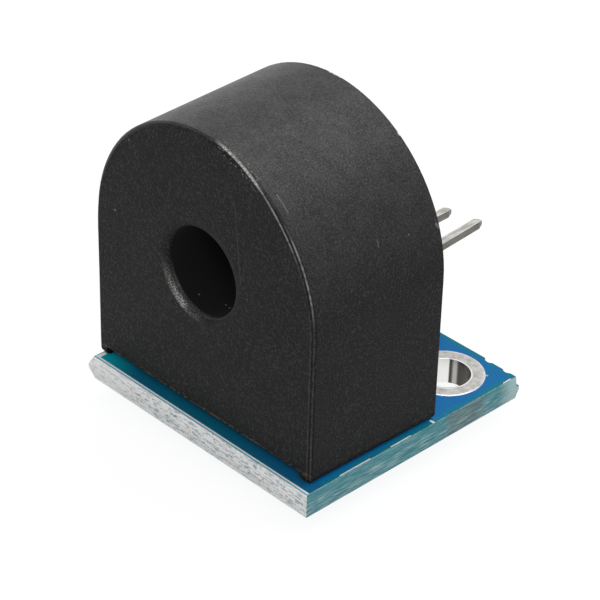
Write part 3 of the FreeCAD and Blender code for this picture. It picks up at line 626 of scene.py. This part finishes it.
def mask_colour(made, upper, tracks):
    inward = made.x.math("ABSOLUTE") * -1 + face_right
    edge_way = inward.math("MINIMUM", made.y - face_front).math("MINIMUM", face_rear - made.y)
    fresh = made.noise(1.1, detail=3)
    mask = made.mix(MASK_TEAL, MASK_BLUE, made.soft_step(edge_way + fresh * 0.5, 0.20, 0.85))
    clouds = made.soft_step(made.noise(0.45, shift=3.0), 0.50, 0.70)
    mask = made.mix(mask, MASK_TEAL, clouds * 0.30)
    strip = 1 - made.soft_step(made.y, case_front + 0.4, case_front + 0.9)
    # Painted shade: the strip at the case's foot gets its darker colours.
    mask = made.mix(mask, front_strip_tint_and_shade(made), strip)
    rim = 1 - made.soft_step(made.y, face_front + 0.05, face_front + 0.09)
    mask = made.mix(mask, RIM_TEAL, rim)
    mask = made.mix(mask, TRACK_BLUE, tracks * 0.8)
    mask = made.mix(mask, PRINT_WHITE, printed_lines(made) * upper)
    specks = made.specks(2.4, 0.06, 1.0) * made.soft_step(made.noise(0.8, shift=5.0), 0.52, 0.6)
    mask = made.mix(mask, PRINT_WHITE, specks * upper * 0.55)
    return made.mix(mask, PRINT_WHITE, bare_spots(made) * upper)


# %% [markdown]
# The edges show the glass cloth. In front and on the left its fibres are torn and pale, with darker
# gaps and short dark dashes where threads end. On the right the cut is cleaner: teal resin with pale
# streaks, a grey stretch towards the rear and a pale corner.

# %% Torn and cut edges
CLOTH_PALE = (0.95, 0.96, 0.95)
CLOTH_GREY = (0.44, 0.51, 0.53)
CLOTH_DARK = (0.15, 0.20, 0.21)
EDGE_TEAL = (0.080, 0.270, 0.310)
EDGE_GREY = (0.140, 0.200, 0.205)
EDGE_PALE = (0.520, 0.680, 0.680)
GREY_FROM, GREY_TO = 5.6, 3.4


def torn_edge(made, fibre, fine, dashes):
    """Pale frayed cloth, rougher to the right, with a hair of blue mask at its top."""
    rougher = made.soft_step(made.x, face_left, face_left + 7) * 0.6 + 0.4
    gaps = 1 - made.soft_step(fibre * 0.75 + fine * 0.35, 0.40, 0.60)
    cloth = made.mix(CLOTH_PALE, CLOTH_GREY, gaps * rougher)
    inside = made.band(made.z, 0.30, 1.25, 0.15)
    thread_ends = made.soft_step(dashes, 0.58, 0.68) * inside * rougher
    cloth = made.mix(cloth, CLOTH_DARK, thread_ends * 0.85)
    rim = made.soft_step(made.z, board_high.z - 0.035, board_high.z - 0.02)
    return made.mix(cloth, MASK_BLUE, rim * 0.9)


def cut_edge(made):
    """Teal resin with pale streaks along it."""
    streaks = made.noise(2.4, detail=4, stretch=(0.4, 0.30, 6.5), rough=0.7, shift=2.0)
    patches = made.noise(0.35, detail=2, shift=6.0)
    grey_stretch = made.band(made.y, face_rear - GREY_FROM, face_rear - GREY_TO, 0.8)
    clear = made.mix(EDGE_TEAL, EDGE_GREY, (patches * 0.5 + 0.6) * grey_stretch)
    upper_third = made.soft_step(made.z, 0.95, 1.15)
    pale = made.soft_step(streaks, 0.45, 0.64) * (0.75 - upper_third * 0.40)
    clear = made.mix(clear, EDGE_PALE, pale)
    torn = made.soft_step(made.noise(3, detail=3, shift=25.0), 0.40, 0.52)
    torn = torn * made.soft_step(made.z, 1.50, 1.56)
    clear = made.mix(clear, EDGE_PALE, torn * 0.4)
    corner = made.soft_step(made.y, face_rear - 1.8, face_rear - 0.2)
    return made.mix(clear, EDGE_PALE, corner * 0.75)


# %% [markdown]
# Now the parts come together. The facet's direction chooses between mask and edge, and between the
# two kinds of edge. The mask gets a faint ripple and the tracks' relief, the edges get frayed.

# %% Circuit board
BOARD_SPECULAR = 0.06


def board():
    made = Finish("board")
    upper = made.soft_step(made.up, 0.85, 0.95)
    lower = made.soft_step(made.up * -1, 0.85, 0.95)
    flat = upper.math("MAXIMUM", lower)
    tracks = copper_tracks(made) * lower
    fibre = made.noise(2.2, detail=4, stretch=(0.6, 0.6, 3.2), rough=0.6)
    fine = made.noise(9, detail=2, stretch=(0.6, 0.6, 1.6), shift=7.0)
    dashes = made.noise(2.6, detail=2, stretch=(1.0, 1.0, 4.2), shift=11.0)
    rightward = made.soft_step(made.side, 0.2, 0.5)
    rearward = made.soft_step(made.depth, 0.2, 0.5)
    cut = rightward.math("MAXIMUM", rearward)
    edge = made.mix(torn_edge(made, fibre, fine, dashes), cut_edge(made), cut)
    colour = made.mix(edge, mask_colour(made, upper, tracks), flat)
    rough = (1 - flat) * 0.55 + 0.24 + made.noise(3, shift=8.0) * 0.08
    frayed = fibre * 0.05 + fine * 0.03 - dashes * 0.03
    ripple = made.noise(1.4, detail=2, shift=12.0) * 0.004 + tracks * 0.03
    relief = frayed * (1 - flat) + ripple * flat
    return made.set(Base_Color=colour, Roughness=rough, Specular_IOR_Level=BOARD_SPECULAR,
                    Normal=made.bump(relief, 0.03))


dress(board(), "circuit_board")

# %% [markdown]
# The rings round the mounting holes and the small pads are copper coated with tin, laid on hot and
# blown level. The coat is never quite even: it is mottled and a little dull on the flat. Its rims and
# side faces carry a painted highlight. A metal takes its look from what it mirrors, so what matters
# is how rough it is, and that changes from spot to spot. The barrel of a hole shows a painted
# reflection of its own dark far side, with a pale part at the back and one soft streak beside it.

# %% Painted highlights on the rims and painted reflection in the barrel of a plated hole
TIN_LIGHT = (0.48, 0.47, 0.455)
TIN_DULL = (0.32, 0.315, 0.30)
# Colour of the painted highlight on the tin's rims and side faces.
TIN_HIGHLIGHT = (0.85, 0.84, 0.82)
# Dark and light of the painted reflection in a barrel.
BARREL_REFLECTED_DARK = (0.075, 0.072, 0.066)
BARREL_REFLECTED_LIGHT = (0.90, 0.89, 0.87)
PALE_FROM = math.radians(124)
STREAK_AT = math.radians(110)
INNER_RIM, OUTER_RIM = 0.09, 0.10
RIM_SOFT = 0.04


def painted_ring_highlights(made, x, y, hole, outside):
    """Painted highlights on the rims: all round the hole, and outside towards the front."""
    away = length_of(made.x - x, made.y - y)
    frontward = made.soft_step((made.y - y) / outside * -1, -0.3, 0.4) * 0.8 + 0.2
    inner = made.band(away, hole, hole + INNER_RIM, RIM_SOFT) * 0.6
    outer = made.band(away, outside - OUTER_RIM, outside, RIM_SOFT) * frontward
    return together([inner, outer])


def barrel(made, colour, x, y, hole):
    """Painted reflection in a plated hole's wall: pale at the back on the left, dark elsewhere, with
    one soft streak and bright dots.
    """
    away = length_of(made.x - x, made.y - y)
    wall = 1 - made.soft_step(away, hole + 0.01, hole + 0.04)
    turn = (made.y - y).math("ARCTAN2", made.x - x)
    pale = made.soft_step(turn, PALE_FROM - 0.03, PALE_FROM + 0.03)
    streak = made.band(turn, STREAK_AT - 0.04, STREAK_AT + 0.04, 0.12) * 0.45
    bright_dots = made.specks(2.6, 0.10, 3.0) * made.soft_step(turn * -1, -1.6, -1.4) * 0.5
    # Painted reflection: the barrel's pale part, streak and bright dots over its dark.
    inside = made.mix(BARREL_REFLECTED_DARK, BARREL_REFLECTED_LIGHT, together([pale, streak, bright_dots]))
    return made.mix(colour, inside, wall)


# %% [markdown]
# The same coat serves rings, pads and the resistor's end caps. Only the rings get painted rim
# highlights and painted barrel reflections, and their places and sizes are read from the two pieces.

# %% Tin on copper
RING_FLANGE = 0.875
TIN_RELIEF = 0.010
TIN_EDGE = 0.04


def tin(name, rings=()):
    """Tin coat. Rings are given as x, y, hole radius and outer radius."""
    made = Finish(name)
    mottle = made.noise(2.6, detail=4, rough=0.6)
    fine = made.noise(11, detail=2, shift=3.0)
    uneven = made.soft_step(mottle * 0.75 + fine * 0.25, 0.36, 0.60)
    colour = made.mix(TIN_DULL, TIN_LIGHT, uneven)
    flat = made.soft_step(made.up.math("ABSOLUTE"), 0.7, 0.9)
    # Painted highlight: side faces get the bright highlight colour, flat faces keep the mottle.
    colour = made.mix(TIN_HIGHLIGHT, colour, flat * 0.85 + 0.15)
    # Each ring gets painted highlights on its rims and a painted reflection in its barrel.
    for x, y, hole, outside in rings:
        colour = made.mix(colour, TIN_HIGHLIGHT, painted_ring_highlights(made, x, y, hole, outside))
        colour = barrel(made, colour, x, y, hole)
    rough = 0.20 + flat * 0.22 + mottle * 0.12
    relief = (mottle * TIN_RELIEF + fine * TIN_RELIEF * 0.4) * flat
    return made.set(Base_Color=colour, Metallic=1.0, Roughness=rough,
                    Normal=made.bump(relief, TIN_EDGE))


def ring_at(node):
    """Middle, hole radius and outer radius of a mounting ring."""
    low, high = limits(node)
    outside = (high.x - low.x) / 2
    return (low.x + high.x) / 2, (low.y + high.y) / 2, outside - RING_FLANGE, outside


rings = [ring_at(node) for node in ("mounting_ring_left", "mounting_ring_right")]
print("mounting rings:", [[round(part, 3) for part in ring] for ring in rings])
dress(tin("tinned_rings", rings), "mounting_ring_left", "mounting_ring_right")
dress(tin("tinned"), "terminal_pad_left", "terminal_pad_right", "header_pad_left",
      "header_pad_right", "resistor_cap_left", "resistor_cap_right", "resistor_pad_left",
      "resistor_pad_right")

# %% [markdown]
# Solder is the same metal, but it froze by itself: smooth, with soft hollows where it shrank.

# %% Solder
SOLDER_DULL = (0.56, 0.57, 0.58)
SOLDER_LIGHT = (0.72, 0.73, 0.74)


def solder():
    made = Finish("solder")
    frost = made.noise(5, detail=3)
    colour = made.mix(SOLDER_DULL, SOLDER_LIGHT, frost)
    rough = 0.16 + frost * 0.22
    relief = made.noise(2.4, detail=2, shift=5.0) * 0.03
    return made.set(Base_Color=colour, Metallic=1.0, Roughness=rough,
                    Normal=made.bump(relief, 0.06))


dress(solder(), "terminal_solder_left", "terminal_solder_right", "header_solder_left",
      "header_solder_right", "lead_solder_left", "lead_solder_right", "resistor_solder_left",
      "resistor_solder_right")

# %% [markdown]
# The header pins are drawn square wire with a thin coat of tin. Drawing leaves fine lines along the
# wire, so the noise is stretched: many spots across the pin and few along it. The flanks are painted
# darker than the top, as painted shade that stands in for the dark case they mirror.

# %% Pins and terminals
WIRE_DULL = (0.34, 0.33, 0.30)
WIRE_LIGHT = (0.55, 0.54, 0.51)
# Colour of the painted shade on the flanks of the pins.
WIRE_FLANK_SHADE = (0.070, 0.066, 0.058)


def drawn_wire():
    made = Finish("pin_metal")
    lines = made.noise(9, detail=3, stretch=(1.0, 0.07, 0.12))
    stains = made.noise(1.2, detail=3, shift=4.0)
    tone = made.soft_step(lines * 0.7 + stains * 0.4, 0.40, 0.68)
    colour = made.mix(WIRE_DULL, WIRE_LIGHT, tone)
    shaded_flank = made.soft_step(made.up.math("ABSOLUTE") * -1, -0.8, -0.4)
    # Painted shade on the flanks.
    colour = made.mix(colour, WIRE_FLANK_SHADE, shaded_flank * 0.75)
    rough = 0.26 + stains * 0.16
    return made.set(Base_Color=colour, Metallic=1.0, Roughness=rough,
                    Normal=made.bump(lines * 0.012, 0.07))


dress(drawn_wire(), "header_pin_left", "header_pin_right", "terminal_pin_left",
      "terminal_pin_right")

# %% [markdown]
# The header's insulator is plain black moulded plastic, smoother than the case. The back of the
# case is closed by resin that was poured in and set level, with slow waves and a few dust grains.

# %% Insulator and resin
INSULATOR_BLACK, INSULATOR_PALE = (0.012, 0.012, 0.012), (0.035, 0.035, 0.036)
RESIN_BLACK, RESIN_PALE = (0.010, 0.010, 0.011), (0.020, 0.020, 0.021)


def insulator():
    made = Finish("header_black")
    grain = made.noise(14, detail=2)
    colour = made.mix(INSULATOR_BLACK, INSULATOR_PALE, made.soft_step(grain, 0.4, 0.8))
    return made.set(Base_Color=colour, Roughness=0.38 + grain * 0.12, Specular_IOR_Level=0.35,
                    Normal=made.bump(grain * 0.006, 0.05))


def resin():
    made = Finish("resin")
    waves = made.noise(0.35, detail=1)
    pits = made.specks(1.3, 0.07, 2.0) * made.soft_step(made.noise(0.6, shift=7.0), 0.5, 0.6)
    colour = made.mix(RESIN_BLACK, RESIN_PALE, waves)
    relief = waves * 0.12 - pits * 0.05
    return made.set(Base_Color=colour, Roughness=0.20 + made.noise(2.0, shift=3.0) * 0.15,
                    Specular_IOR_Level=0.40, Normal=made.bump(relief))


dress(insulator(), "header_block")
dress(resin(), "potting_fill")

# %% [markdown]
# Inside the resin sits the coil. It can't be seen in the finished part, but someone may lift the
# pieces apart, so it has its true surfaces too: thin strip wound into a ring, a coat of lacquer,
# hundreds of turns of fine wire, and a band of tape. Strip and wire are drawn by their geometry:
# the strip by the distance from the axis, the wire by the angle round it.

# %% Core and winding
STRIP_PER_MM = 14
WIRE_TURNS = 420
CORE_DARK, CORE_LIGHT = (0.20, 0.20, 0.21), (0.46, 0.45, 0.44)
COAT_DARK, COAT_LIGHT = (0.13, 0.30, 0.16), (0.20, 0.42, 0.22)
COPPER_DARK, COPPER_LIGHT = (0.30, 0.085, 0.03), (0.80, 0.33, 0.13)


def core():
    made = Finish("core")
    distance, _ = from_bore(made)
    layers = (distance * (STRIP_PER_MM * 2 * math.pi)).math("SINE") * 0.5 + 0.5
    layers = layers * made.soft_step(made.depth.math("ABSOLUTE"), 0.7, 0.9)
    tarnish = made.noise(1.5, detail=3)
    colour = made.mix(CORE_DARK, CORE_LIGHT, layers * 0.6 + tarnish * 0.4)
    return made.set(Base_Color=colour, Metallic=0.9, Roughness=0.30 + tarnish * 0.2,
                    Normal=made.bump(layers * 0.01, 0.05))


def coating():
    made = Finish("coating")
    peel = made.noise(2.2, detail=2)
    colour = made.mix(COAT_DARK, COAT_LIGHT, peel)
    return made.set(Base_Color=colour, Roughness=0.28 + peel * 0.12,
                    Normal=made.bump(peel * 0.02, 0.1))


def copper_wire():
    made = Finish("copper_wire")
    _, angle = from_bore(made)
    turns = (angle * WIRE_TURNS + made.noise(0.8) * 3.0).math("SINE") * 0.5 + 0.5
    tone = turns * 0.8 + made.noise(2, shift=3.0) * 0.2
    colour = made.mix(COPPER_DARK, COPPER_LIGHT, tone)
    return made.set(Base_Color=colour, Metallic=0.85, Roughness=0.28,
                    Normal=made.bump(turns * 0.02))


dress(core(), "toroid_core")
dress(coating(), "core_insulation")
dress(copper_wire(), "secondary_winding")

# %% [markdown]
# The tape is thin yellow film, creased across the winding. The leads wear soft red sleeves.

# %% Tape and sleeves
TAPE_DARK, TAPE_LIGHT = (0.60, 0.40, 0.05), (0.80, 0.60, 0.10)
SLEEVE_DARK, SLEEVE_LIGHT = (0.42, 0.02, 0.015), (0.60, 0.05, 0.035)


def tape():
    made = Finish("tape")
    creases = made.noise(1.2, detail=3, stretch=(1, 0.2, 1))
    colour = made.mix(TAPE_DARK, TAPE_LIGHT, creases)
    return made.set(Base_Color=colour, Roughness=0.30 + creases * 0.15,
                    Coat_Weight=0.3 + creases * 0.2, Normal=made.bump(creases * 0.03))


def sleeve():
    made = Finish("sleeve")
    skin = made.noise(6, detail=2)
    colour = made.mix(SLEEVE_DARK, SLEEVE_LIGHT, skin)
    return made.set(Base_Color=colour, Roughness=0.42 + skin * 0.1, Normal=made.bump(skin * 0.006))


dress(tape(), "winding_tape")
dress(sleeve(), "winding_lead_left", "winding_lead_right")

# %% [markdown]
# A chip resistor hangs under the board: a white ceramic block whose lower face has a dark glaze
# over the resistive film.

# %% Resistor
CERAMIC_DULL, CERAMIC_WHITE = (0.74, 0.73, 0.70), (0.90, 0.89, 0.86)
GLAZE_BLACK, GLAZE_PALE = (0.008, 0.008, 0.010), (0.022, 0.022, 0.026)


def ceramic():
    made = Finish("ceramic")
    grit = made.noise(12, detail=3)
    colour = made.mix(CERAMIC_DULL, CERAMIC_WHITE, grit)
    return made.set(Base_Color=colour, Roughness=0.50 + grit * 0.15,
                    Normal=made.bump(grit * 0.008, 0.04))


def glaze():
    made = Finish("glaze")
    flow = made.noise(3, detail=2)
    colour = made.mix(GLAZE_BLACK, GLAZE_PALE, flow)
    return made.set(Base_Color=colour, Roughness=0.14 + flow * 0.12,
                    Normal=made.bump(flow * 0.012, 0.03))


dress(ceramic(), "resistor_body")
dress(glaze(), "resistor_glaze")

# %% [markdown]
# The photograph was taken on white, with soft light from everywhere and a little more from above
# and behind. A wide pale sky gives the soft light, and lamps the rest. The white behind the object
# comes from what camera, mirror and glass rays see, not from more light on the part, so the colours
# stay true.

# %% Sky
SKY_LIGHT = 0.42
SEEN_WHITE = 1.0


def seen_directly(recipe):
    """1 for rays from the camera, from a mirror or through glass."""
    rays = recipe.node("LightPath").socket.node
    kinds = ("Is Camera Ray", "Is Glossy Ray", "Is Transmission Ray")
    return together([Value(recipe, rays.outputs[kind]) for kind in kinds])


def sky():
    world = bpy.data.worlds.new("sky")
    world.use_nodes = True
    bpy.context.scene.world = world
    made = Recipe(world.node_tree)
    strength = seen_directly(made) * (SEEN_WHITE - SKY_LIGHT) + SKY_LIGHT
    background = world.node_tree.nodes["Background"].inputs
    made.feed(background["Color"], (1.0, 1.0, 1.0))
    made.feed(background["Strength"], strength)


sky()
print("sky light", SKY_LIGHT)

# %% [markdown]
# The floor is one plain pale sheet at the height of the lowest solder point. Where it is seen, most
# of its white is a glow of its own and a little is lit, so the part's shadow stays faint and soft.
# For all other rays it is a plain pale sheet that lights the part from below.

# %% Floor
FLOOR_HALF = 0.6
FLOOR_ALBEDO = 0.80
FLOOR_SHADE = 0.16
FLOOR_GLOW = 0.90


def floor():
    signs = ((-1, -1), (1, -1), (1, 1), (-1, 1))
    corners = [(x * FLOOR_HALF, y * FLOOR_HALF, cad_low.z) for x, y in signs]
    mesh = bpy.data.meshes.new("floor")
    mesh.from_pydata(corners, [], [(0, 1, 2, 3)])
    made = bpy.data.objects.new("floor", mesh)
    bpy.context.scene.collection.objects.link(made)
    material = bpy.data.materials.new("floor")
    material.use_nodes = True
    material.node_tree.nodes.clear()
    recipe = Recipe(material.node_tree)
    plain = recipe.node("BsdfDiffuse", inputs={"Color": (FLOOR_ALBEDO,) * 3})
    shade = recipe.node("BsdfDiffuse", inputs={"Color": (FLOOR_SHADE,) * 3})
    glow = recipe.node("Emission", inputs={"Color": (1, 1, 1), "Strength": FLOOR_GLOW})
    bright = recipe.node("AddShader", inputs={0: shade, 1: glow})
    both = recipe.node("MixShader", inputs={0: seen_directly(recipe), 1: plain, 2: bright})
    recipe.node("OutputMaterial", inputs={"Surface": both})
    mesh.materials.append(material)
    print("floor at", round(cad_low.z / MM, 2), "mm")


floor()

# %% [markdown]
# Lamps are aimed at the middle of the part. Their power is worked out from the light that is wanted
# on the part, so a lamp can be moved away without becoming weaker: at a light of 1 a white card that
# faces the lamp comes out just white. The main lamp stands high behind the part and gives the arch
# its sheen. A small one near the camera lights the dished mouth of the bore, and a faint one in front
# on the left keeps the front from going flat.

# %% Lamps
middle = (cad_low + cad_high) / 2


def direction(around, above):
    """Direction away from the part, from the angle round it and the height, in radians."""
    level = math.cos(above)
    return Vector((math.sin(around) * level, -math.cos(around) * level, math.sin(above)))


def lamp(name, azimuth, elevation, distance, size, light):
    """Square lamp round the part: azimuth 0 is in front, 90 on the right."""
    away = direction(math.radians(azimuth), math.radians(elevation))
    data = bpy.data.lights.new(name, "AREA")
    data.size = size
    data.energy = light * math.pi ** 2 * distance ** 2
    made = bpy.data.objects.new(name, data)
    made.location = middle + away * distance
    made.rotation_euler = away.to_track_quat("Z", "Y").to_euler()
    bpy.context.scene.collection.objects.link(made)
    print(name, "at", [round(part, 3) for part in made.location], "power", round(data.energy, 3))


lamp("back_lamp", azimuth=178, elevation=62, distance=0.5, size=0.50, light=0.50)
lamp("mouth_lamp", azimuth=50, elevation=36, distance=0.5, size=0.14, light=0.22)
lamp("front_lamp", azimuth=-20, elevation=40, distance=0.6, size=0.30, light=0.08)

# %% [markdown]
# The camera stands where the photographer stood: in front on the right, looking down, with a long
# lens. Its place was found by matching the corners of board and case with the photograph, and the
# slight roll comes from the same match.

# %% Camera
CAMERA_PLACE = Vector((83.435, -88.485, 82.017)) * MM
CAMERA_AZIMUTH = math.radians(45.409)
CAMERA_ELEVATION = math.radians(32.799)
CAMERA_ROLL = math.radians(1.572)
FOCAL_PIXELS = 2392.806
FRAME_PIXELS = 600
SENSOR = 36.0


def camera():
    back = direction(CAMERA_AZIMUTH, CAMERA_ELEVATION)
    level_right = Vector((0, 0, 1)).cross(back).normalized()
    level_up = back.cross(level_right)
    right = level_right * math.cos(CAMERA_ROLL) + level_up * math.sin(CAMERA_ROLL)
    up = back.cross(right)
    data = bpy.data.cameras.new("camera")
    data.sensor_width = SENSOR
    data.lens = SENSOR * FOCAL_PIXELS / FRAME_PIXELS
    data.clip_start = 0.01
    made = bpy.data.objects.new("camera", data)
    turned = Matrix((right, up, back)).transposed().to_4x4()
    made.matrix_world = Matrix.Translation(CAMERA_PLACE) @ turned
    bpy.context.scene.collection.objects.link(made)
    bpy.context.scene.camera = made
    print("lens", round(data.lens, 1), "mm on a sensor of", SENSOR, "mm")


camera()
bpy.context.scene.view_settings.view_transform = "Standard"

# %% [markdown]
# Last, the box of the CAD part is printed. Nothing here moves or resizes a piece.

# %% Print the CAD box
print("CAD box in m", [round(side, 5) for side in cad_high - cad_low])
